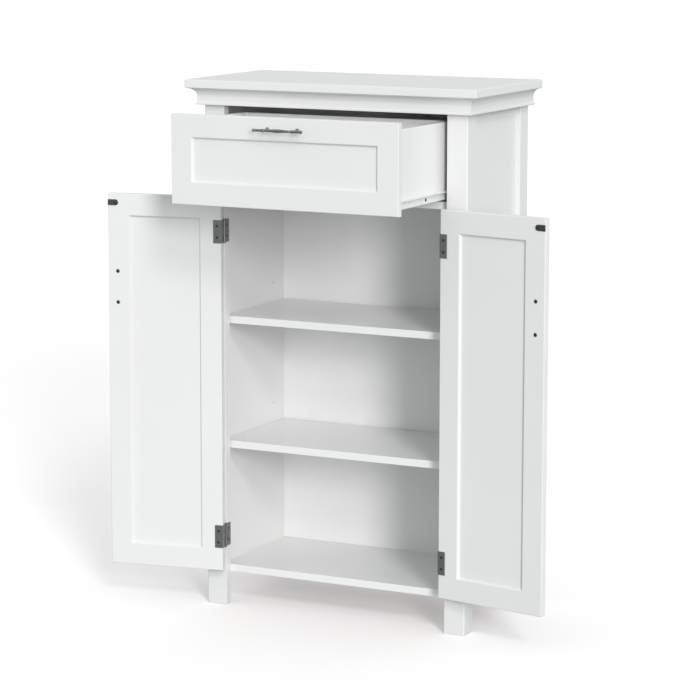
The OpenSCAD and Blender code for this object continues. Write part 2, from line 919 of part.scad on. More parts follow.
top_board();
crown_front();
crown_side(-1);  // crown_left
crown_side(1);  // crown_right
top_rail();
front_stile(-1);  // front_stile_left
front_stile(1);  // front_stile_right
side_stile_front(-1);  // side_stile_front_left
side_stile_front(1);  // side_stile_front_right
side_stile_back(-1);  // side_stile_back_left
side_stile_back(1);  // side_stile_back_right
side_panel(-1);  // side_panel_left
side_panel(1);  // side_panel_right
back_panel();
bottom_board();
divider_board();
shelf(0);  // shelf_lower
shelf(1);  // shelf_upper
shelf_pins();
rail_blocks();
slide_rail(-1);  // slide_rail_left
slide_rail(1);  // slide_rail_right
front_roller(-1);  // front_roller_left
front_roller(1);  // front_roller_right
door_catches();
hinge_post_leaves(-1);  // hinge_post_leaves_left
hinge_post_leaves(1);  // hinge_post_leaves_right
cabinet_screws();

drawer_stile(-1);  // drawer_stile_left
drawer_stile(1);  // drawer_stile_right
drawer_rail_top();
drawer_rail_bottom();
drawer_panel();
drawer_side(-1);  // drawer_side_left
drawer_side(1);  // drawer_side_right
drawer_back();
drawer_base();
drawer_runners();
rear_roller(-1);  // rear_roller_left
rear_roller(1);  // rear_roller_right
drawer_handle();
drawer_screws();

door_stile_hinge(-1);  // left_door_stile_hinge
door_stile_free(-1);  // left_door_stile_free
door_rail_top(-1);  // left_door_rail_top
door_rail_bottom(-1);  // left_door_rail_bottom
door_panel(-1);  // left_door_panel
door_hinge_leaves(-1);  // left_door_hinge_leaves
door_handle(-1);  // left_door_handle
door_strike_plate(-1);  // left_door_strike_plate
door_screws(-1);  // left_door_screws

door_stile_hinge(1);  // right_door_stile_hinge
door_stile_free(1);  // right_door_stile_free
door_rail_top(1);  // right_door_rail_top
door_rail_bottom(1);  // right_door_rail_bottom
door_panel(1);  // right_door_panel
door_hinge_leaves(1);  // right_door_hinge_leaves
door_handle(1);  // right_door_handle
door_strike_plate(1);  // right_door_strike_plate
door_screws(1);  // right_door_screws
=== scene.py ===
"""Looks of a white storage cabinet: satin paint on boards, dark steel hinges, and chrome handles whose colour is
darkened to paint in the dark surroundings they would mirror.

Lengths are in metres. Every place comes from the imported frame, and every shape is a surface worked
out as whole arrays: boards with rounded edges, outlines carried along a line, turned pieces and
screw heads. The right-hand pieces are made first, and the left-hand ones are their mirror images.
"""

import json
import math

import bpy
import numpy as np
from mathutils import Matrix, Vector


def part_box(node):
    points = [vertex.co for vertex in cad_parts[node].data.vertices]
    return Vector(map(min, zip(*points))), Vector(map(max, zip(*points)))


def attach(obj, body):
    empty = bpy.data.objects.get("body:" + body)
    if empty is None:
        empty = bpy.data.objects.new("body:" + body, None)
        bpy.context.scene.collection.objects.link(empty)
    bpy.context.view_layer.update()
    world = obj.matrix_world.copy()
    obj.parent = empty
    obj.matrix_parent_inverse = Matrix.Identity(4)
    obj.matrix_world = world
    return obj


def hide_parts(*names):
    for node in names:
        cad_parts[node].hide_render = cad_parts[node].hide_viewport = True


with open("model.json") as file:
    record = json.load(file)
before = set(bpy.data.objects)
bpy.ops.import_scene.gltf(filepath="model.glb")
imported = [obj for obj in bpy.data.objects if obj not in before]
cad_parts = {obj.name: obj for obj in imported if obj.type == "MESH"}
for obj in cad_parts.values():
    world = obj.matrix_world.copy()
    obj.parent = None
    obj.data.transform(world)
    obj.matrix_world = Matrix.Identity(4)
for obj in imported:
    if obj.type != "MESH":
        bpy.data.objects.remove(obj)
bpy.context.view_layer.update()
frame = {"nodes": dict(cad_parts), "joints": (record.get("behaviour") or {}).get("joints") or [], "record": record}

record = frame["record"]
body_of = {n: body for body, nodes in record["behaviour"]["bodies"].items() for n in nodes}
slot_of = {part["node"]: part["material_slot"] for part in record["subparts"]}

# ---------------------------------------------------------------- sizes of the finish

BOARD_EDGE = 0.0008          # rounding of a board's edges
TOP_EDGE = 0.0016            # rounding of the top board's edges
POST_EDGE = 0.0028           # rounding of the posts' outer corners
EASED_EDGE = 0.0012          # rounding of the posts' ends and other outer edges
DRAWER_TOP_EDGE = 0.0016     # rounding of the upper edges of the drawer's sides
DRAWER_BACK_EDGE = 0.0014    # rounding of the drawer's back
FRONT_EDGE = 0.0015          # rounding of a door's and the drawer front's outer edge
CRISP_EDGE = 0.0004          # rounding of an edge that looks crisp
SHEET_EDGE = 0.0003          # rounding of a sheet metal edge
SHEET = 0.0012               # thickness of hinge leaves and slides
BEND_OUT, BEND_IN = 0.0012, 0.0006    # outer and inner radius of a bend in the slides' sheet
SHARP_ANGLE = 38             # degrees between faces from which an edge looks sharp

# Frame members, as in the CAD: flat, sloped edge, groove
FLAT_W, SLOPE_W, SLOPE_D = 0.044, 0.0035, 0.0054
FLAT_CORNER, SLOPE_CORNER = 0.0005, 0.0002    # roundings where the flat and the slope end
FRONT_T, PANEL_T, GROOVE_D = 0.015, 0.003, 0.008

# Crown moulding, from its lower edge up
LIP_H, LIP_OUT = 0.005, 0.0135
LIP_UNDER, LIP_OVER, LIP_CORNER = 0.0012, 0.0016, 0.0006    # roundings below, above and behind it
BAND_H, BAND_OUT = 0.012, 0.011
COVE_R = 0.016

# Screw heads: radius and height
HANDLE_HEAD = (0.0039, 0.0018)
FLAT_HEAD = (0.0034, 0.0009)
POST_LEAF_HEAD = (0.0028, 0.0003)     # lower than the gap of 0.0004 between shut leaves
DOOR_LEAF_HEAD = (0.0028, 0.0006)
LEAF_HEAD_SUNK = 0.0003


# ---------------------------------------------------------------- shapes
# A shape is an array of points and a list of arrays of faces.

X, Y, Z = 0, 1, 2
RIGHT, LEFT, BACK, FRONT, DOWN = (1, 0, 0), (-1, 0, 0), (0, 1, 0), (0, -1, 0), (0, 0, -1)
ARC_STEP = 0.0012            # length along an arc between its points
SAME_POINT = 1e-6            # points that are closer than this are one


def unit(v):
    """The vector divided by its own length."""
    return v / np.linalg.norm(v)


def outward(points, faces):
    """Turns the faces of one closed shell outwards. The sum of the signed volumes of the tetrahedra
    from the origin to each face's fan is negative when they point inwards."""
    volume = 0.0
    for f in faces:
        for j in range(1, f.shape[1] - 1):
            a, b, c = points[f[:, 0]], points[f[:, j]], points[f[:, j + 1]]
            volume += np.einsum("ij,ij->", a, np.cross(b, c))
    return points, [f[:, ::-1] for f in faces] if volume < 0 else faces


def welded(points, faces):
    """Makes points that agree to seven decimals one point, so that the shell's seams are closed."""
    _, first, same = np.unique(np.round(points, 7), axis=0, return_index=True, return_inverse=True)
    return outward(points[first], [same.reshape(-1)[f] for f in faces])


def joined(*shapes):
    """Several shells as one shape."""
    points, faces, start = [], [], 0
    for p, fs in shapes:
        points.append(p)
        faces += [f + start for f in fs]
        start += len(p)
    return np.concatenate(points), faces


def moved(shape, *offset):
    """The shape with one offset added to all its points."""
    return shape[0] + np.array(offset), shape[1]


def mirrored(shape):
    """The shape with X reversed, its faces still outwards."""
    return shape[0] * [-1, 1, 1], [f[:, ::-1] for f in shape[1]]


def both_sides(shape):
    """A right-hand shape and its mirror image as one shape."""
    return joined(shape, mirrored(shape))


def turned_about_z(shape, centre, angle):
    """The shape turned by an angle about the upright line through centre."""
    c, s = math.cos(angle), math.sin(angle)
    x, y, z = (shape[0] - centre).T
    return np.stack([c * x - s * y, s * x + c * y, z], 1) + centre, shape[1]


def aimed(shape, place, direction):
    """The shape's +Z turned to a direction, then its origin moved to a place."""
    turn = np.array(Vector(direction).to_track_quat("Z", "Y").to_matrix())
    return shape[0] @ turn.T + np.array(place), shape[1]


def grid_faces(rows, cols, wrap_rows=False, wrap_cols=False):
    """Quads between neighbouring rows and columns of a grid of points."""
    i = np.arange(rows if wrap_rows else rows - 1)[:, None]
    j = np.arange(cols if wrap_cols else cols - 1)[None, :]
    down, right = (i + 1) % rows, (j + 1) % cols
    corners = [i * cols + j, i * cols + right, down * cols + right, down * cols + j]
    return np.stack(corners, -1).reshape(-1, 4)


def rounded_board(low, high, radius=BOARD_EDGE, steps=2):
    """Box with rounded edges. Each point on the faces of the box is drawn in to a box that is
    smaller by the radius, then pushed out by the radius along the line between the two. The
    radius stays under half of the box's thinnest side."""
    low, high = np.array(low, float), np.array(high, float)
    r = min(radius, 0.49 * (high - low).min())
    bend = r * np.tan(np.linspace(math.pi / 4, 0, steps + 1))
    ticks = [np.concatenate([low[a] + r - bend, (high[a] - r + bend)[::-1]]) for a in range(3)]
    n = len(ticks[0])
    points, faces = [], []
    for a in range(3):
        u, v = (a + 1) % 3, (a + 2) % 3
        for at, turn in ((high[a], 1), (low[a], -1)):
            grid = np.empty((n, n, 3))
            grid[..., a] = at
            grid[..., u] = ticks[u][:, None]
            grid[..., v] = ticks[v][None, :]
            faces.append(grid_faces(n, n)[:, ::turn] + n * n * len(points))
            points.append(grid.reshape(-1, 3))
    points = np.concatenate(points)
    inner = np.clip(points, low + r, high - r)
    away = points - inner
    return welded(inner + r * away / np.linalg.norm(away, axis=1, keepdims=True), faces)


def outline(*corners):
    """Closed outline from corners (x, y, radius): each corner is an arc that touches both of its
    sides, with more points the larger it is, or a single point where the radius is 0. Seen from its
    centre, an arc's points are (start sin((1 - t) sweep) + end sin(t sweep)) / sin(sweep)."""
    c = np.array(corners, float)
    parts = []
    for (x, y, r), before, after in zip(c, np.roll(c, 1, 0), np.roll(c, -1, 0)):
        here = np.array([x, y])
        if r == 0:
            parts.append(here[None])
            continue
        b, a = unit(before[:2] - here), unit(after[:2] - here)
        half = math.acos(np.clip(b @ a, -1, 1)) / 2
        centre = here + unit(a + b) * r / math.sin(half)
        start, end = (here + d * r / math.tan(half) - centre for d in (b, a))
        t = np.linspace(0, 1, max(3, round(r / ARC_STEP)) + 1)[:, None]
        sweep = math.pi - 2 * half
        arc = (np.sin((1 - t) * sweep) * start + np.sin(t * sweep) * end) / math.sin(sweep)
        parts.append(centre + arc)
    points = np.concatenate(parts)
    return points[np.linalg.norm(points - np.roll(points, 1, 0), axis=1) > SAME_POINT]


def skinned(rings):
    """Closed shell through rings of points, with a flat face over the first and the last ring."""
    count, size = rings.shape[:2]
    loop = np.arange(size)
    caps = np.stack([loop[::-1], (count - 1) * size + loop])
    return outward(rings.reshape(-1, 3), [grid_faces(count, size, wrap_cols=True), caps])


def bar(section, start, end, axis, end_radius=CRISP_EDGE):
    """Outline carried along the axis X, Y or Z. Near each end the outline draws in along its own
    normals by a quarter circle, so that the end's edge is rounded."""
    side = np.roll(section, -1, 0) - section
    normal = np.stack([side[:, 1], -side[:, 0]], 1) / np.linalg.norm(side, axis=1, keepdims=True)
    before = np.roll(normal, 1, 0)
    out = (normal + before) / (1 + (normal * before).sum(1, keepdims=True))
    x, y = section.T
    area = (x * np.roll(y, -1) - y * np.roll(x, -1)).sum()
    out = out if area > 0 else -out
    r = min(end_radius, 0.4 * (end - start))
    t = np.linspace(0, math.pi / 2, 3)
    inset, step = r * (1 - np.sin(t)), r * (1 - np.cos(t))
    depth = np.concatenate([inset, inset[::-1]])
    place = np.concatenate([start + step, end - step[::-1]])
    flat = section[None] - depth[:, None, None] * out[None]
    rings = np.empty(flat.shape[:2] + (3,))
    rings[..., [a for a in range(3) if a != axis]] = flat
    rings[..., axis] = place[:, None]
    return skinned(rings)


def turned(profile, sides=32):
    """Solid turned about Z. Each row (r, h) of the profile is a circle of points
    (r cos a, r sin a, h), and the first and the last row are single points on the axis."""
    radius, height = np.array(profile, float).T
    a = np.linspace(0, 2 * math.pi, sides, endpoint=False)
    r, h = radius[1:-1, None], height[1:-1, None]
    rings = np.stack([r * np.cos(a), r * np.sin(a), h + 0 * a], -1)
    rows, j = len(rings), np.arange(sides)
    k = (j + 1) % sides
    points = np.concatenate([rings.reshape(-1, 3), [[0, 0, height[0]], [0, 0, height[-1]]]])
    first, last = np.full(sides, rows * sides), np.full(sides, rows * sides + 1)
    end = (rows - 1) * sides
    fans = [np.stack([first, k, j], 1), np.stack([last, end + j, end + k], 1)]
    return outward(points, [grid_faces(rows, sides, wrap_cols=True)] + fans)


def turned_ring(section, sides=48):
    """Ring turned about Z: each point (r, h) of a closed outline is a circle of points
    (r cos a, r sin a, h)."""
    a = np.linspace(0, 2 * math.pi, sides, endpoint=False)
    r, h = section[:, 0, None], section[:, 1, None]
    rings = np.stack([r * np.cos(a), r * np.sin(a), h + 0 * a], -1)
    faces = grid_faces(len(section), sides, wrap_rows=True, wrap_cols=True)
    return outward(rings.reshape(-1, 3), [faces])


def smooth_profile(*rows, points=5):
    """Profile through (radius, height) rows, where each step between rows eases from one radius to
    the next along half a cosine wave."""
    rows = np.array(rows, float)
    t = np.linspace(0, 1, points, endpoint=False)
    ease = (1 - np.cos(math.pi * t)) / 2
    r = rows[:-1, 0, None] + (rows[1:, 0] - rows[:-1, 0])[:, None] * ease
    h = rows[:-1, 1, None] + (rows[1:, 1] - rows[:-1, 1])[:, None] * t
    return np.concatenate([np.stack([r.ravel(), h.ravel()], 1), rows[-1:]])


def screw_head(radius, height, sunk=0.0006):
    """Domed head with a cross recess. A square grid is drawn onto the disc by
    x = u sqrt(1 - v v / 2), y = v sqrt(1 - u u / 2), its height falls off with the fourth power of
    the distance from the middle, and the grid points inside the cross are pressed down."""
    arm, reach, wall = 0.13, 0.55, 0.05
    outer = (0.8, 0.93, 1.0)
    fall, pressed = 0.75, 0.75 * height
    half = np.array([arm, arm + wall, reach, reach + wall, *outer])
    t = np.concatenate([-half[::-1], half])
    u, v = np.meshgrid(t, t, indexing="ij")
    x, y = u * np.sqrt(1 - v * v / 2), v * np.sqrt(1 - u * u / 2)
    along_u = (abs(u) <= reach + SAME_POINT) & (abs(v) <= arm + SAME_POINT)
    along_v = (abs(v) <= reach + SAME_POINT) & (abs(u) <= arm + SAME_POINT)
    depth = np.where(along_u | along_v, pressed, 0)
    z = height * (1 - fall * (x * x + y * y) ** 2) - depth
    top = np.stack([radius * x, radius * y, z], -1).reshape(-1, 3)
    n = len(t)
    index = np.arange(n * n).reshape(n, n)
    rim = np.concatenate([index[0, :-1], index[:-1, -1], index[-1, :0:-1], index[:0:-1, 0]])
    foot = n * n + np.arange(len(rim))
    low = top[rim] * [1, 1, 0] - [0, 0, sunk]
    wall_faces = np.stack([np.roll(rim, -1), rim, foot, np.roll(foot, -1)], 1)
    return outward(np.concatenate([top, low]), [grid_faces(n, n), wall_faces, foot[None, ::-1]])


# ---------------------------------------------------------------- materials


def node_group(name, inputs, outputs, build):
    """Shader node group with named sockets; build(tree, given, result) wires it up."""
    tree = bpy.data.node_groups.new(name, "ShaderNodeTree")
    for socket, kind, default in inputs:
        made = tree.interface.new_socket(socket, in_out="INPUT", socket_type=kind)
        if default is not None:
            made.default_value = default
    for socket, kind in outputs:
        tree.interface.new_socket(socket, in_out="OUTPUT", socket_type=kind)
    given, result = tree.nodes.new("NodeGroupInput"), tree.nodes.new("NodeGroupOutput")
    build(tree, given, result)
    return tree


def noise(tree, vector, scale, detail=2.0):
    """Value of a noise texture; its scale may be a number or a socket."""
    n = tree.nodes.new("ShaderNodeTexNoise")
    tree.links.new(vector, n.inputs["Vector"])
    if isinstance(scale, float):
        n.inputs["Scale"].default_value = scale
    else:
        tree.links.new(scale, n.inputs["Scale"])
    n.inputs["Detail"].default_value = detail
    return n.outputs["Fac"]


def span(tree, value, low, high, to_low, to_high):
    """Maps value from low..high to to_low..to_high; each end may be a number or a socket."""
    n = tree.nodes.new("ShaderNodeMapRange")
    tree.links.new(value, n.inputs["Value"])
    ends = (("From Min", low), ("From Max", high), ("To Min", to_low), ("To Max", to_high))
    for socket, end in ends:
        if isinstance(end, (int, float)):
            n.inputs[socket].default_value = end
        else:
            tree.links.new(end, n.inputs[socket])
    return n.outputs["Result"]


def blend(tree, mask, first, second):
    """Mixes two colours by a mask. Inputs 6 and 7 and output 2 are the node's colour sockets."""
    n = tree.nodes.new("ShaderNodeMix")
    n.data_type = "RGBA"
    tree.links.new(mask, n.inputs["Factor"])
    for socket, colour in ((n.inputs[6], first), (n.inputs[7], second)):
        if isinstance(colour, tuple):
            socket.default_value = colour
        else:
            tree.links.new(colour, socket)
    return n.outputs[2]


def stretched(tree, vector, scale):
    """Mapping that scales a pattern along each axis."""
    n = tree.nodes.new("ShaderNodeMapping")
    tree.links.new(vector, n.inputs["Vector"])
    tree.links.new(scale, n.inputs["Scale"])
    return n.outputs["Vector"]


COLOUR, NUMBER, VECTOR = "NodeSocketColor", "NodeSocketFloat", "NodeSocketVector"
NOISE_LOW, NOISE_HIGH = 0.3, 0.7      # nearly all of a noise's values lie between these
DRIFT_SCALE, CLOUD_SCALE = 5.0, 38.0  # waves a metre in a coat's tone and in its gloss


def gloss_from(tree, value, given):
    """Roughness between the group's glossiest and dullest, by a noise."""
    ends = (given.outputs["Glossiest"], given.outputs["Dullest"])
    return span(tree, value, NOISE_LOW, NOISE_HIGH, *ends)


def build_coat(tree, given, result):
    """Sprayed or rolled coat: a broad drift of tone and gloss, and the fine peel of the film."""
    where = given.outputs["Where"]
    drift = span(tree, noise(tree, where, DRIFT_SCALE), NOISE_LOW, NOISE_HIGH, 0, 1)
    tree.links.new(blend(tree, drift, given.outputs["Colour"], given.outputs["Other colour"]),
                   result.inputs["Colour"])
    cloud = noise(tree, where, CLOUD_SCALE, detail=3.0)
    tree.links.new(gloss_from(tree, cloud, given), result.inputs["Roughness"])
    tree.links.new(noise(tree, where, given.outputs["Peel scale"], detail=1.0), result.inputs["Height"])


def build_grain(tree, given, result):
    """Long fine streaks, as of brushed metal or a printed and pressed grain."""
    where = stretched(tree, given.outputs["Where"], given.outputs["Streaks"])
    streak = noise(tree, where, 1.0, detail=4.0)
    tone = span(tree, streak, NOISE_LOW, NOISE_HIGH, 0, 1)
    tree.links.new(blend(tree, tone, given.outputs["Colour"], given.outputs["Other colour"]),
                   result.inputs["Colour"])
    tree.links.new(gloss_from(tree, streak, given), result.inputs["Roughness"])
    tree.links.new(streak, result.inputs["Height"])


COMMON_INPUTS = [
    ("Where", VECTOR, None),
    ("Colour", COLOUR, None),
    ("Other colour", COLOUR, None),
    ("Glossiest", NUMBER, 0.3),
    ("Dullest", NUMBER, 0.4),
]
FINISH_OUTPUTS = [("Colour", COLOUR), ("Roughness", NUMBER), ("Height", NUMBER)]
coat = node_group("Coat", COMMON_INPUTS + [("Peel scale", NUMBER, 700.0)], FINISH_OUTPUTS, build_coat)
grain = node_group("Grain", COMMON_INPUTS + [("Streaks", VECTOR, None)], FINISH_OUTPUTS, build_grain)


def finish(name, group, colour, other, gloss, bump, metallic=0.0, coat_weight=0.0, **more):
    """Material made from one of the groups. gloss is the roughness from least to most, bump is the
    depth of the relief in metres, and more holds the group's own sockets, with _ for a space."""
    material = bpy.data.materials.new(name)
    material.use_nodes = True
    tree = material.node_tree
    shader = tree.nodes["Principled BSDF"]
    where = tree.nodes.new("ShaderNodeTexCoord").outputs["Object"]
    effect = tree.nodes.new("ShaderNodeGroup")
    effect.node_tree = group
    tree.links.new(where, effect.inputs["Where"])
    effect.inputs["Colour"].default_value = (*colour, 1)
    effect.inputs["Other colour"].default_value = (*other, 1)
    effect.inputs["Glossiest"].default_value, effect.inputs["Dullest"].default_value = gloss
    for socket, value in more.items():
        effect.inputs[socket.replace("_", " ")].default_value = value
    relief = tree.nodes.new("ShaderNodeBump")
    relief.inputs["Distance"].default_value = bump
    tree.links.new(effect.outputs["Height"], relief.inputs["Height"])
    tree.links.new(relief.outputs["Normal"], shader.inputs["Normal"])
    tree.links.new(effect.outputs["Colour"], shader.inputs["Base Color"])
    tree.links.new(effect.outputs["Roughness"], shader.inputs["Roughness"])
    shader.inputs["Metallic"].default_value = metallic
    shader.inputs["Coat Weight"].default_value = coat_weight
    return material


def grey(level, tint=0.0):
    """Grey of a linear level; a positive tint is a little warmer."""
    return (level * (1 + tint), level, level * (1 - tint))


finishes = {
    "white_paint": finish("Satin white paint", coat, grey(0.77), grey(0.75, 0.004), (0.30, 0.38),
                          bump=0.00006, Peel_scale=420.0),
    "white_foil": finish("White foil", grain, grey(0.81), grey(0.80, 0.003), (0.19, 0.22),
                         bump=0.000004, Streaks=(60.0, 900.0, 900.0)),
    "rail_coating": finish("White epoxy coat", coat, grey(0.78), grey(0.76), (0.25, 0.34),
                           bump=0.00005, Peel_scale=900.0),
    "hinge_steel": finish("Dark hinge steel", grain, grey(0.30), grey(0.21), (0.30, 0.46),
                          bump=0.00003, metallic=1.0, Streaks=(3000.0, 3000.0, 120.0)),
    "strike_steel": finish("Dark strike plate", grain, grey(0.12), grey(0.08), (0.34, 0.5),
                           bump=0.00003, metallic=1.0, Streaks=(200.0, 3000.0, 3000.0)),
    "screw_steel": finish("Dark zinc screw", grain, grey(0.11), grey(0.07), (0.22, 0.36),
                          bump=0.00002, metallic=1.0, Streaks=(2500.0, 2500.0, 2500.0)),
    "pin_zinc": finish("Zinc pin", grain, grey(0.55), grey(0.42), (0.28, 0.42),
                       bump=0.00002, metallic=1.0, Streaks=(200.0, 2500.0, 2500.0)),
    # Painted reflection: the chrome's base colour is darkened to stand in for the dark surroundings that the real
    # handles mirror.
    "handle_chrome": finish("Dark chrome", coat, grey(0.24), grey(0.20), (0.08, 0.16),
                            bump=0.00001, metallic=1.0, coat_weight=0.3, Peel_scale=300.0),
    "roller_nylon": finish("Black nylon", coat, grey(0.03), grey(0.02), (0.38, 0.5),
                           bump=0.00004, Peel_scale=1500.0),
    "catch_plastic": finish("White moulding", coat, grey(0.74, 0.01), grey(0.70, 0.01), (0.36, 0.48),
                            bump=0.00004, Peel_scale=1300.0),
}


# ---------------------------------------------------------------- pieces on the frame


def finished(node, shape):
    """Makes the shape the visible piece of a CAD node, on its body and in its finish."""
    points, faces = shape
    name = node + "_finished"
    mesh = bpy.data.meshes.new(name)
    mesh.from_pydata(points.tolist(), [], [face for group in faces for face in group.tolist()])
    mesh.shade_smooth()
    mesh.set_sharp_from_angle(angle=math.radians(SHARP_ANGLE))
    mesh.materials.append(finishes[slot_of[node]])
    piece = bpy.data.objects.new(name, mesh)
    bpy.context.scene.collection.objects.link(piece)
    even = piece.modifiers.new("Even normals", "WEIGHTED_NORMAL")
    even.keep_sharp = True
    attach(piece, body_of[node])
    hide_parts(node)


def box(node):
    """Lowest and highest corner of a CAD node, as arrays."""
    low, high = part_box(node)
    return np.array(low), np.array(high)


def board(node, radius=BOARD_EDGE):
    """A CAD board as the same board with rounded edges."""
    finished(node, rounded_board(*box(node), radius))


def right_and_left(pattern, shape):
    """The right-hand piece and its mirror image on the left; pattern holds {} for the side."""
    finished(pattern.format("right"), shape)
    finished(pattern.format("left"), mirrored(shape))


# Planes that many pieces share
open_x, front_y = box("front_stile_right")[0][:2]
outer_x = box("front_stile_right")[1][0]
inner_x = box("side_stile_front_right")[0][0]
back_y = box("side_stile_back_right")[1][1]
case_top = box("front_stile_right")[1][2]

# The right door's hinge: its line, and how far the door rests open
hinge_joint = next(j for j in frame["joints"] if j["name"] == "right_door_hinge")
hinge_line = np.array(hinge_joint["pos_m"])
open_angle = math.radians(-hinge_joint["range_deg"][0])


# ---------------------------------------------------------------- case


def crown_section():
    """Outline of the crown, (out, up) from the case's face and the moulding's lower edge: a bead, a
    flat band, a cove that is a quarter circle, and a square edge under the top board."""
    top = box("crown_front")[1][2] - box("crown_front")[0][2]
    cove_top = LIP_H + BAND_H + COVE_R
    return outline(
        (0, 0, 0), (LIP_OUT, 0, LIP_UNDER), (LIP_OUT, LIP_H, LIP_OVER), (BAND_OUT, LIP_H, LIP_CORNER),
        (BAND_OUT, cove_top, COVE_R), (BAND_OUT + COVE_R, cove_top, 0),
        (BAND_OUT + COVE_R, top, CRISP_EDGE), (0, top, 0)
    )


def crown():
    """The crown's three lengths: the outline is carried from mitre to mitre, where each point lies
    as far along as it stands out, and the side lengths end square at the back."""
    out, up = crown_section().T
    z = box("crown_front")[0][2] + up
    right_mitre = np.stack([outer_x + out, front_y - out, z], 1)
    square_end = np.stack([outer_x + out, np.full_like(out, back_y), z], 1)
    finished("crown_front", skinned(np.stack([right_mitre * [-1, 1, 1], right_mitre])))
    right_and_left("crown_{}", skinned(np.stack([right_mitre, square_end])))


def posts():
    """Corner posts. Faces that meet another piece keep sharp edges, so that no seam opens."""
    side_y, panel_y = (corner[1] for corner in box("side_stile_front_right"))
    back_post_y = box("side_stile_back_right")[0][1]
    inside_edge = 0.0006
    front = outline(
        (open_x, front_y, EASED_EDGE), (outer_x, front_y, POST_EDGE),
        (outer_x, side_y, 0), (open_x, side_y, inside_edge)
    )
    side = outline(
        (inner_x, side_y, 0), (outer_x, side_y, 0), (outer_x, panel_y, EASED_EDGE), (inner_x, panel_y, 0)
    )
    back = outline(
        (inner_x, back_post_y, 0), (outer_x, back_post_y, EASED_EDGE),
        (outer_x, back_y, POST_EDGE), (inner_x, back_y, 0)
    )
    right_and_left("front_stile_{}", bar(front, 0, case_top, Z, EASED_EDGE))
    right_and_left("side_stile_front_{}", bar(side, 0, case_top, Z, EASED_EDGE))
    right_and_left("side_stile_back_{}", bar(back, 0, case_top, Z, EASED_EDGE))


def case_boards():
    """Flat boards of the case, and the blocks that carry the rails in line with the front stiles."""
    board("top_board", TOP_EDGE)
    board("top_rail")
    for node in ("bottom_board", "divider_board", "shelf_lower", "shelf_upper"):
        board(node)
    low, high = box("rail_blocks")
    finished("rail_blocks", both_sides(rounded_board([open_x, low[1], low[2]], high)))


def shelf_pins():
    """Turned pins with domed ends, half in the side panels; two on each side under each shelf."""
    low, high = box("shelf_pins")
    r, length = 0.0025, 0.018
    end_r, dome = r * 0.7, r * 0.3
    under_shelf = 0.0001
    pin = turned([(0, 0), (end_r, 0), (r, dome), (r, length - dome), (end_r, length), (0, length)])
    shelves = [box(node)[0][2] for node in ("shelf_lower", "shelf_upper")]
    pins = [
        aimed(pin, (high[0] - length, y, z - under_shelf - r), RIGHT)
        for y in (low[1] + r, high[1] - r)
        for z in shelves
    ]
    finished("shelf_pins", both_sides(joined(*pins)))


# ---------------------------------------------------------------- framed fronts


def member(length):
    """Frame member along Z, its outer edge at x = 0: the outline runs in from the edge over the
    flat and down the slope to the panel's groove, and each end is a mitre, where a point lies as
    far along as it lies in."""
    groove = (FRONT_T - PANEL_T) / 2
    inner, bottom = FLAT_W + SLOPE_W, FLAT_W + SLOPE_W - GROOVE_D
    x, y = outline(
        (0, 0, FRONT_EDGE), (FLAT_W, 0, FLAT_CORNER), (inner, SLOPE_D, SLOPE_CORNER), (inner, groove, 0),
        (bottom, groove, 0), (bottom, groove + PANEL_T, 0), (inner, groove + PANEL_T, 0),
        (inner, FRONT_T - SLOPE_D, SLOPE_CORNER), (FLAT_W, FRONT_T, FLAT_CORNER),
        (0, FRONT_T, FRONT_EDGE)
    ).T
    return np.stack([np.stack([x, y, x], 1), np.stack([x, y, length - x], 1)])


def framed_front(width, height):
    """The four members of a frame from its lower left corner, as left, right, bottom and top."""
    upright, level = member(height), member(width)
    left = skinned(upright)
    right = skinned(upright * [-1, 1, 1] + [width, 0, 0])
    bottom = skinned(level[..., [2, 1, 0]])
    top = skinned(level[..., [2, 1, 0]] * [1, 1, -1] + [0, 0, height])
    return left, right, bottom, top


# ---------------------------------------------------------------- handle

HANDLE_STAND = 0.022         # from the front's face to the bar's middle line
HANDLE_FEET = 0.032          # each foot's distance from the handle's middle
BALL_R, BALL_AT = 0.0035, 0.0505    # the end balls, and their distance from the handle's middle
BALL_NECK = -58              # degrees round the ball from its middle to where it meets its neck


def bar_handle():
    """Handle along X in front of a face at y = 0. The bar is turned: a swelling middle, a waist and
    a collar at each foot, a plain length and a ball at the end; the feet flare to round bases."""
    swelling = [(0.0035, 0), (0.0022, 0.0262)]
    collar = [(0.0016, 0.0275), (0.0030, 0.0292), (0.0030, 0.0348), (0.0017, 0.0362)]
    plain = [(0.0025, 0.0374), (0.0025, 0.0462), (0.0017, 0.0474)]
    half = smooth_profile(*swelling, *collar, *plain)
    a = np.linspace(math.radians(BALL_NECK), math.pi / 2, 9)
    ball = np.stack([BALL_R * np.cos(a), BALL_AT + BALL_R * np.sin(a)], 1)
    half = np.concatenate([half, ball])
    half[-1, 0] = 0
    whole = np.concatenate([half[:0:-1] * [1, -1], half])
    rod = aimed(turned(whole, sides=40), (0, -HANDLE_STAND, 0), RIGHT)
    base = [(0, 0), (0.0042, 0), (0.0045, 0.0004), (0.0045, 0.0012), (0.0041, 0.0016)]
    stem = smooth_profile((0.0032, 0.0018), (0.0022, 0.008), (0.0022, 0.014), (0.0029, 0.0205))
    in_the_bar = [(0, 0.0212)]
    foot = turned(np.concatenate([base, stem, in_the_bar]))
    feet = [aimed(foot, (x, 0, 0), FRONT) for x in (-HANDLE_FEET, HANDLE_FEET)]
    return joined(rod, *feet)


def handle_screws():
    """Heads of a handle's two screws on the back of its front, for a handle along X."""
    head = screw_head(*HANDLE_HEAD)
    return joined(*[aimed(head, (x, FRONT_T, 0), BACK) for x in (-HANDLE_FEET, HANDLE_FEET)])


# ---------------------------------------------------------------- drawer


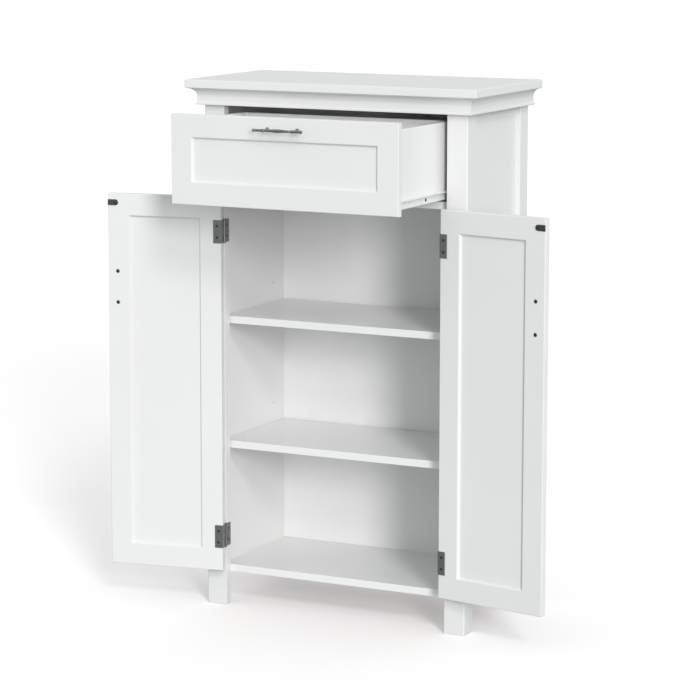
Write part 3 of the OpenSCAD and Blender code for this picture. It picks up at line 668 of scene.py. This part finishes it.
def drawer_front():
    """Framed front with its panel and handle; gives the heads of the handle's screws, behind it."""
    low, high = box("drawer_stile_left")[0], box("drawer_stile_right")[1]
    width, height = high[0] - low[0], high[2] - low[2]
    names = ("drawer_stile_left", "drawer_stile_right", "drawer_rail_bottom", "drawer_rail_top")
    for name, shape in zip(names, framed_front(width, height)):
        finished(name, moved(shape, *low))
    board("drawer_panel", CRISP_EDGE)
    z = (box("drawer_handle")[0][2] + box("drawer_handle")[1][2]) / 2
    finished("drawer_handle", moved(bar_handle(), 0, low[1], z))
    return moved(handle_screws(), 0, low[1], z)


def drawer_box():
    """Sides with a groove for the base, softly rounded on top, a back and a base."""
    low, high = box("drawer_side_right")
    base_low, base_high = box("drawer_base")
    base_gap = 0.0005
    groove_x = base_high[0] + base_gap
    section = outline(
        (low[0], low[2], BOARD_EDGE), (high[0], low[2], BOARD_EDGE),
        (high[0], high[2], DRAWER_TOP_EDGE), (low[0], high[2], DRAWER_TOP_EDGE),
        (low[0], base_high[2], 0), (groove_x, base_high[2], 0),
        (groove_x, base_low[2], 0), (low[0], base_low[2], 0)
    )
    right_and_left("drawer_side_{}", bar(section, low[1], high[1], Y, BOARD_EDGE))
    board("drawer_back", DRAWER_BACK_EDGE)
    board("drawer_base", CRISP_EDGE)


# ---------------------------------------------------------------- slides

ROLLER_R, AXLE_R = 0.006, 0.002


def slide_rails():
    """Cabinet rails: a bent channel, open towards the drawer, and the front roller's axle. The
    upper flange starts behind the roller, so the channel is two lengths."""
    low, high = box("slide_rail_right")
    roller_low, roller_high = box("front_roller_right")
    past_roller, behind_roller = 0.0006, 0.002
    x0, x1 = roller_low[0] - past_roller, high[0]
    upper_from = roller_high[1] + behind_roller
    channel = outline(
        (x0, low[2], SHEET_EDGE), (x1, low[2], BEND_OUT),
        (x1, high[2], BEND_OUT), (x0, high[2], SHEET_EDGE),
        (x0, high[2] - SHEET, SHEET_EDGE), (x1 - SHEET, high[2] - SHEET, BEND_IN),
        (x1 - SHEET, low[2] + SHEET, BEND_IN), (x0, low[2] + SHEET, SHEET_EDGE)
    )
    angle = outline(
        (x0, low[2], SHEET_EDGE), (x1, low[2], BEND_OUT), (x1, high[2], SHEET_EDGE),
        (x1 - SHEET, high[2], SHEET_EDGE), (x1 - SHEET, low[2] + SHEET, BEND_IN),
        (x0, low[2] + SHEET, SHEET_EDGE)
    )
    middle = (roller_low + roller_high) / 2
    axle = axle_with_head(high[0] - SHEET / 2 - low[0])
    rail = joined(
        bar(angle, low[1], upper_from, Y, SHEET_EDGE),
        bar(channel, upper_from, high[1], Y, SHEET_EDGE),
        aimed(axle, (high[0] - SHEET / 2, middle[1], middle[2]), LEFT),
    )
    right_and_left("slide_rail_{}", rail)


def axle_with_head(length):
    """Axle along Z from 0, with a domed head at its end."""
    head_r, head_h = 0.0032, 0.0008
    return turned([
        (0, 0), (AXLE_R, 0), (AXLE_R, length - head_h), (head_r, length - head_h),
        (head_r, length - head_h / 2), (head_r * 0.75, length), (0, length)
    ], sides=24)


def drawer_runners():
    """Runners of the drawer: a flange under the side, a web beside it and a flange that rolls on
    the front roller, in one bent strip, with the rear roller's axle."""
    low, high = box("drawer_runners")
    side_x, side_z = box("drawer_side_right")[1][0], box("drawer_side_right")[0][2]
    clear_of_rail, under_w = 0.0018, 0.008
    upper_bend, upper_corner, lower_corner = 0.0008, 0.0002, 0.0001
    flange_x = box("slide_rail_right")[1][0] - SHEET - clear_of_rail
    under_x = side_x - under_w
    strip = outline(
        (under_x, low[2], SHEET_EDGE), (side_x + SHEET, low[2], BEND_OUT),
        (side_x + SHEET, high[2] - SHEET, upper_corner), (flange_x, high[2] - SHEET, SHEET_EDGE),
        (flange_x, high[2], SHEET_EDGE), (side_x, high[2], upper_bend),
        (side_x, side_z, lower_corner), (under_x, side_z, SHEET_EDGE)
    )
    roller_low, roller_high = box("rear_roller_right")
    middle = (roller_low + roller_high) / 2
    reach = high[0] - side_x - SHEET / 2
    runner = joined(
        bar(strip, low[1], high[1], Y, SHEET_EDGE),
        aimed(axle_with_head(reach), (side_x + SHEET / 2, middle[1], middle[2]), RIGHT),
    )
    finished("drawer_runners", both_sides(runner))


def rollers():
    """Nylon rollers: a ring with eased rims and a shallow groove round its tread."""
    bore_gap, bore_edge, rim_edge = 0.00006, 0.0003, 0.0007
    groove_d, groove_top, groove_foot, groove_edge = 0.0004, 0.0006, 0.0003, 0.0002
    inner, groove_r = AXLE_R + bore_gap, ROLLER_R - groove_d
    for end in ("front", "rear"):
        low, high = box(f"{end}_roller_right")
        middle, w = (low + high) / 2, (high[0] - low[0]) / 2
        section = outline(
            (inner, -w, bore_edge), (ROLLER_R, -w, rim_edge), (ROLLER_R, -groove_top, groove_edge),
            (groove_r, -groove_foot, groove_edge), (groove_r, groove_foot, groove_edge),
            (ROLLER_R, groove_top, groove_edge), (ROLLER_R, w, rim_edge), (inner, w, bore_edge)
        )
        right_and_left(f"{end}_roller_{{}}", aimed(turned_ring(section), middle, RIGHT))


# ---------------------------------------------------------------- hinges

HINGE_H = 0.047
KNUCKLE_R, KNUCKLE_GAP = 0.0026, 0.0004
PIN_HEAD = 0.0016            # from a hinge's end to the end of its pin's head
POST_LEAF_W, DOOR_LEAF_W = 0.017, 0.016
SCREW_SPREAD = (-HINGE_H / 4, HINGE_H / 4)    # a leaf's screws, above and below its middle


def hinge_middles():
    """Heights of the two hinges' middles."""
    low, high = box("hinge_post_leaves_right")
    inset = PIN_HEAD + HINGE_H / 2
    return low[2] + inset, high[2] - inset


def shut_box(node):
    """Lowest and highest corner that a node of the right door has when the door is shut."""
    mesh = frame["nodes"][node].data
    points = np.empty(len(mesh.vertices) * 3)
    mesh.vertices.foreach_get("co", points)
    points, _ = turned_about_z((points.reshape(-1, 3), None), hinge_line, -open_angle)
    return points.min(0), points.max(0)


def swung(shape):
    """A piece of the shut right door, swung to where the door rests."""
    return turned_about_z(shape, hinge_line, open_angle)


def knuckle(i):
    """One of a hinge's three knuckles, counted from 0 at the bottom, for a hinge with its middle at
    z = 0. Gives the knuckle, the height of its lower end, and its length."""
    h = (HINGE_H - 2 * KNUCKLE_GAP) / 3
    z = -HINGE_H / 2 + i * (h + KNUCKLE_GAP)
    r, e = KNUCKLE_R, 0.0003
    lower = [(0, z), (r - e, z), (r, z + e)]
    upper = [(r, z + h - e), (r - e, z + h), (0, z + h)]
    barrel = turned(lower + upper, sides=28)
    return moved(barrel, hinge_line[0], hinge_line[1], 0), z, h


def leaf_strip(i, x):
    """Tab that joins a leaf at x to its knuckle."""
    _, z, h = knuckle(i)
    into_leaf = 0.0002
    return rounded_board([x, hinge_line[1], z], [x + SHEET, front_y + into_leaf, z + h], SHEET_EDGE)


def leaf_screws(places, direction, size):
    """Heads of one size, sunk a little into their leaf."""
    head = screw_head(*size, LEAF_HEAD_SUNK)
    return [aimed(head, place, direction) for place in places]


def post_leaves():
    """Leaves on the posts' inner faces with the outer knuckles, and the headed pins."""
    x = open_x - SHEET
    h = HINGE_H / 2
    leaf = rounded_board([x, front_y, -h], [open_x, front_y + POST_LEAF_W, h], SHEET_EDGE)
    pin_r, head_r, head_h, rim = 0.0012, 0.0022, 0.0015, 0.0008
    under_head = 0.0001
    end = h + under_head
    pin = turned([
        (0, -end - head_h), (head_r * 0.7, -end - head_h), (head_r, -end - rim), (head_r, -end),
        (pin_r, -end), (pin_r, end), (head_r, end), (head_r, end + rim),
        (head_r * 0.7, end + head_h), (0, end + head_h)
    ], sides=24)
    pin = moved(pin, hinge_line[0], hinge_line[1], 0)
    one = joined(leaf, knuckle(0)[0], knuckle(2)[0], leaf_strip(0, x), leaf_strip(2, x), pin)
    right_and_left("hinge_post_leaves_{}", joined(*[moved(one, 0, 0, z) for z in hinge_middles()]))


def post_leaf_screws():
    """Heads of the two screws in each post leaf."""
    y = front_y + POST_LEAF_W / 2
    places = [(open_x - SHEET, y, z + dz) for z in hinge_middles() for dz in SCREW_SPREAD]
    return leaf_screws(places, LEFT, POST_LEAF_HEAD)


# ---------------------------------------------------------------- doors


def strike_plate(low, high):
    """Ribbed plate, square at the free edge and round at its other end. Its outline is drawn on a
    grid of strips, and the height of the face rises and falls along it in shallow ribs, as
    depth (1 - cos) / 2."""
    rib_depth, rib_count, ribbed = 0.0004, 6, 0.72
    face_share, edge = 0.94, 0.0002
    r = (high[2] - low[2]) / 2
    z = (high[2] + low[2]) / 2
    strips = 45
    t = np.linspace(0, 1, strips)
    x = low[0] + (high[0] - low[0]) * t
    past = np.clip((x - (high[0] - r)) / r, 0, 1)
    half = np.maximum(r * np.sqrt(1 - past ** 2), edge)
    wave = np.cos(2 * math.pi * np.clip(t / ribbed, 0, 1) * rib_count)
    face_y = high[1] - rib_depth * (1 - wave) / 2 * (t < ribbed)
    rear = np.full_like(x, low[1])
    rings = np.stack([
        np.stack([x, rear, z - half], 1), np.stack([x, face_y - edge, z - half], 1),
        np.stack([x, face_y, z - half * face_share], 1), np.stack([x, face_y, z + half * face_share], 1),
        np.stack([x, face_y - edge, z + half], 1), np.stack([x, rear, z + half], 1),
    ], 1)
    return skinned(rings)


def stood_up(shape, place):
    """A handle's piece along X turned to stand along Z, then moved to its place."""
    points = shape[0][:, [2, 1, 0]] * [-1, 1, 1]
    return points + np.array(place), shape[1]


def door_frame(low, high):
    """Frame and panel of the doors, from the shut right door's lowest and highest corner."""
    names = ("stile_free", "stile_hinge", "rail_bottom", "rail_top")
    for name, shape in zip(names, framed_front(high[0] - low[0], high[2] - low[2])):
        right_and_left("{}_door_" + name, swung(moved(shape, *low)))
    right_and_left("{}_door_panel", swung(rounded_board(*shut_box("right_door_panel"), CRISP_EDGE)))


def door_handle(face_y):
    """Upright handle on the doors' faces; gives its place on the shut right door."""
    low, high = shut_box("right_door_handle")
    place = ((low[0] + high[0]) / 2, face_y, (low[2] + high[2]) / 2)
    right_and_left("{}_door_handle", swung(stood_up(bar_handle(), place)))
    return place


def door_strike():
    """Strike plates; gives the place of the plate's screw, in the middle of its round end."""
    low, high = shut_box("right_door_strike_plate")
    right_and_left("{}_door_strike_plate", swung(strike_plate(low, high)))
    end_r = (high[2] - low[2]) / 2
    return high[0] - end_r, high[1], (low[2] + high[2]) / 2


def door_leaves(edge_x, face_y):
    """Leaves wrapped round the doors' edges, with the middle knuckles; gives their screws' places."""
    x0, x1 = edge_x - DOOR_LEAF_W, edge_x + SHEET
    inside_y = face_y + FRONT_T
    wrap_bend, wrap_corner = 0.001, 0.0001
    wrap = outline(
        (edge_x, face_y, SHEET_EDGE), (x1, face_y, SHEET_EDGE), (x1, inside_y + SHEET, wrap_bend),
        (x0, inside_y + SHEET, SHEET_EDGE), (x0, inside_y, SHEET_EDGE), (edge_x, inside_y, wrap_corner)
    )
    leaf = bar(wrap, -HINGE_H / 2, HINGE_H / 2, Z, SHEET_EDGE)
    one = joined(leaf, knuckle(1)[0], leaf_strip(1, edge_x))
    leaves = joined(*[moved(one, 0, 0, z) for z in hinge_middles()])
    right_and_left("{}_door_hinge_leaves", swung(leaves))
    x, y = edge_x - DOOR_LEAF_W / 2, inside_y + SHEET
    return [(x, y, z + dz) for z in hinge_middles() for dz in SCREW_SPREAD]


def doors():
    """Both doors: frame and panel, handle, strike plate, hinge leaves and screws."""
    low, high = shut_box("right_door_stile_free")[0], shut_box("right_door_stile_hinge")[1]
    door_frame(low, high)
    handle_place = door_handle(low[1])
    strike_screw = door_strike()
    places = door_leaves(high[0], low[1]) + [strike_screw]
    heads = leaf_screws(places, BACK, DOOR_LEAF_HEAD)
    heads.append(stood_up(handle_screws(), handle_place))
    right_and_left("{}_door_screws", swung(joined(*heads)))


# Places of screws, as shares of the length of the piece that they go through
RAIL_SCREWS = (0.3, 0.8)
RUNNER_SCREWS = (0.5, 0.9)
CATCH_SCREW = 0.6


def case_screws():
    """Screws of the post leaves, of the cabinet rails and of the catches."""
    low, high = box("slide_rail_right")
    flat_head = screw_head(*FLAT_HEAD)
    x, z = high[0] - SHEET, (low[2] + high[2]) / 2
    along = [low[1] + share * (high[1] - low[1]) for share in RAIL_SCREWS]
    rails = [aimed(flat_head, (x, y, z), LEFT) for y in along]
    low, high = box("door_catches")
    strike = shut_box("right_door_strike_plate")
    x, y = (strike[0][0] + strike[1][0]) / 2, low[1] + CATCH_SCREW * (high[1] - low[1])
    flange_t = 0.003
    catch = aimed(flat_head, (x, y, high[2] - flange_t), DOWN)
    finished("cabinet_screws", both_sides(joined(*post_leaf_screws(), *rails, catch)))


def drawer_screws(front_screws):
    """Screws of the drawer's handle and of its runners."""
    runner_top = box("drawer_runners")[1][2]
    low, high = box("drawer_side_right")
    length = high[1] - low[1]
    x, z = high[0] + SHEET, (low[2] + runner_top - SHEET) / 2
    head = screw_head(*FLAT_HEAD)
    heads = [aimed(head, (x, low[1] + share * length, z), RIGHT) for share in RUNNER_SCREWS]
    finished("drawer_screws", joined(front_screws, both_sides(joined(*heads))))


# ---------------------------------------------------------------- the object

crown()
posts()
case_boards()
shelf_pins()
front_screws = drawer_front()
drawer_box()
slide_rails()
drawer_runners()
rollers()
drawer_screws(front_screws)
post_leaves()
doors()
case_screws()

# CAD nodes that stay as they are, such as the bored side panels, only get their finish.
for node, piece in frame["nodes"].items():
    if not piece.hide_render:
        piece.data.materials.clear()
        piece.data.materials.append(finishes[slot_of[node]])


# ---------------------------------------------------------------- studio

FLOOR_REACH = 30             # the floor's edge from its middle, in metres
FLOOR_GLOW = (1, 0.75, 0.7, 1)
FLOOR_GLOW_STRENGTH = 0.11
KEY_SIDE = 41                # how far to the right of the front the tall key light stands, in degrees
TALL_KEY = ((6, 0.70), (17, 0.96), (34, 0.68))    # elevation and strength of each part of it
KEY_SPREAD = 12              # how wide each part looks, in degrees
KEY_COLOUR = (1, 0.996, 0.985)
AROUND_COLOUR = (0.955, 0.99, 1, 1)
HORIZON = 0.15               # half of the height over which the surroundings change
CAMERA_PLACE = (2.496, -4.923, 1.469)
CAMERA_DOWN, CAMERA_TURN = 8.685, 27.204    # degrees below level, and to the left of straight back


def studio_floor():
    """Wide pale floor, a flat grid, with a slight glow that keeps it white. It throws no light on the
    cabinet: the light that comes up from below is the surroundings' own."""
    count = 41
    t = np.linspace(-1, 1, count)
    x, y = np.meshgrid(t * FLOOR_REACH, t * FLOOR_REACH, indexing="ij")
    points = np.stack([x, y, 0 * x], -1).reshape(-1, 3)
    mesh = bpy.data.meshes.new("studio_floor")
    mesh.from_pydata(points.tolist(), [], grid_faces(count, count)[:, ::-1].tolist())
    material = bpy.data.materials.new("Pale floor")
    material.use_nodes = True
    shader = material.node_tree.nodes["Principled BSDF"]
    shader.inputs["Base Color"].default_value = (0.99, 0.99, 0.99, 1)
    shader.inputs["Roughness"].default_value = 0.9
    shader.inputs["Specular IOR Level"].default_value = 0.1
    shader.inputs["Emission Color"].default_value = FLOOR_GLOW
    shader.inputs["Emission Strength"].default_value = FLOOR_GLOW_STRENGTH
    mesh.materials.append(material)
    floor = bpy.data.objects.new("studio_floor", mesh)
    floor.visible_diffuse = False
    floor.visible_glossy = False
    bpy.context.scene.collection.objects.link(floor)


def soft_sun(name, azimuth, elevation, spread, strength):
    """Broad, even light from far away; azimuth 0 is in front of the cabinet and 90 is to its right,
    and spread is how wide the source looks, in degrees."""
    a, e = math.radians(azimuth), math.radians(elevation)
    towards = Vector((math.sin(a) * math.cos(e), -math.cos(a) * math.cos(e), math.sin(e)))
    data = bpy.data.lights.new(name, "SUN")
    data.angle, data.energy = math.radians(spread), strength
    data.color = KEY_COLOUR
    lamp = bpy.data.objects.new(name, data)
    lamp.rotation_mode = "QUATERNION"
    lamp.rotation_quaternion = towards.to_track_quat("Z", "Y")
    bpy.context.scene.collection.objects.link(lamp)


def camera():
    """Long lens, 5.5 m away to the front and right of the cabinet, looking down a little."""
    data = bpy.data.cameras.new("camera")
    data.sensor_width = 36
    data.lens = 146.1
    data.shift_x, data.shift_y = 0.03, -0.05
    cam = bpy.data.objects.new("camera", data)
    cam.location = CAMERA_PLACE
    cam.rotation_euler = (math.radians(90 - CAMERA_DOWN), 0, math.radians(CAMERA_TURN))
    bpy.context.scene.collection.objects.link(cam)
    bpy.context.scene.camera = cam


def surroundings(above, below):
    """White surroundings: one strength above the horizon and another below, with a soft change."""
    world = bpy.data.worlds.new("studio")
    world.use_nodes = True
    tree = world.node_tree
    where = tree.nodes.new("ShaderNodeTexCoord").outputs["Generated"]
    split = tree.nodes.new("ShaderNodeSeparateXYZ")
    tree.links.new(where, split.inputs["Vector"])
    strength = span(tree, split.outputs["Z"], -HORIZON, HORIZON, below, above)
    tree.links.new(strength, tree.nodes["Background"].inputs["Strength"])
    tree.nodes["Background"].inputs["Color"].default_value = AROUND_COLOUR
    bpy.context.scene.world = world


def studio():
    """Pale surroundings, one tall soft key light in three parts, the floor and the camera."""
    surroundings(above=0.77, below=0.40)
    for elevation, strength in TALL_KEY:
        soft_sun(f"key_{elevation}", KEY_SIDE, elevation, KEY_SPREAD, strength)
    studio_floor()
    camera()
    bpy.context.scene.view_settings.view_transform = "Standard"


studio()
